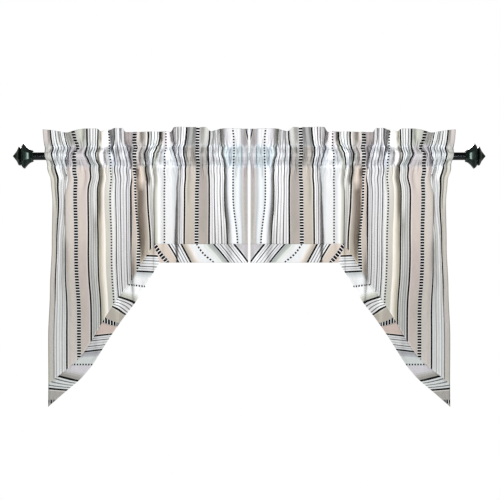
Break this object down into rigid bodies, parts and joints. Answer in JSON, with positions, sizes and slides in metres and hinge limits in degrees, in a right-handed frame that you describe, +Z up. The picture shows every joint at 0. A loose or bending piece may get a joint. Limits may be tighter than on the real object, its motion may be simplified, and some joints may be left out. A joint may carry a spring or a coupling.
{
  "type": "swag and tail drape on rod",
  "caption": "Gathered rod-pocket swag and tail drapes with a bias border, hung on a black rod with stepped octagonal finials.",
  "frame": {"origin": "on the rod's axis, midway along the rod", "axes": "+Z up, +X to the right as seen from the room, +Y towards the wall; the room is on the -Y side"},
  "size_m": [1.5614, 0.0849, 0.9237],
  "materials": {
    "striped_cloth": "matt woven cotton, striped in white, taupe, grey and black along the drop",
    "bias_border": "the same matt striped cotton cut on the bias",
    "rod": "gloss black enamel",
    "finial": "satin black with a dark green cast"
  },
  "bodies": {
    "root": {"drape_left": "striped_cloth", "drape_right": "striped_cloth", "border_left": "bias_border", "border_right": "bias_border", "rod": "rod", "finial_left": "finial", "finial_right": "finial"}
  },
  "joints": []
}
